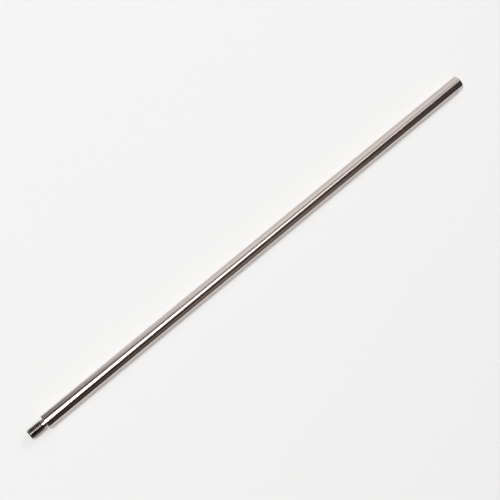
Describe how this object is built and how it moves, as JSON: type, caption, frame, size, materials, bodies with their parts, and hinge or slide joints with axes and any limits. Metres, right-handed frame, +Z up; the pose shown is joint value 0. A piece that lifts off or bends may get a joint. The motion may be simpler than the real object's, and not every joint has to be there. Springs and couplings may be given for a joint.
{
  "type": "threaded-end shaft",
  "caption": "Straight ground stainless shaft with one end stepped down to a short male thread behind a relief neck and a square shoulder; the other end is plain.",
  "frame": {"origin": "on the shaft's axis, in the plane of the shoulder that the threaded stub stands out of", "axes": "+X along the axis from the shoulder to the plain end, so the threaded stub points to -X; the shaft is the same all round, and lies level with +Z up"},
  "size_m": [0.31, 0.008, 0.008],
  "materials": {
    "ground_stainless": "centreless-ground and polished stainless steel, with turned end faces, neck and thread"
  },
  "bodies": {
    "root": {"threaded_shaft": "ground_stainless"}
  },
  "joints": []
}
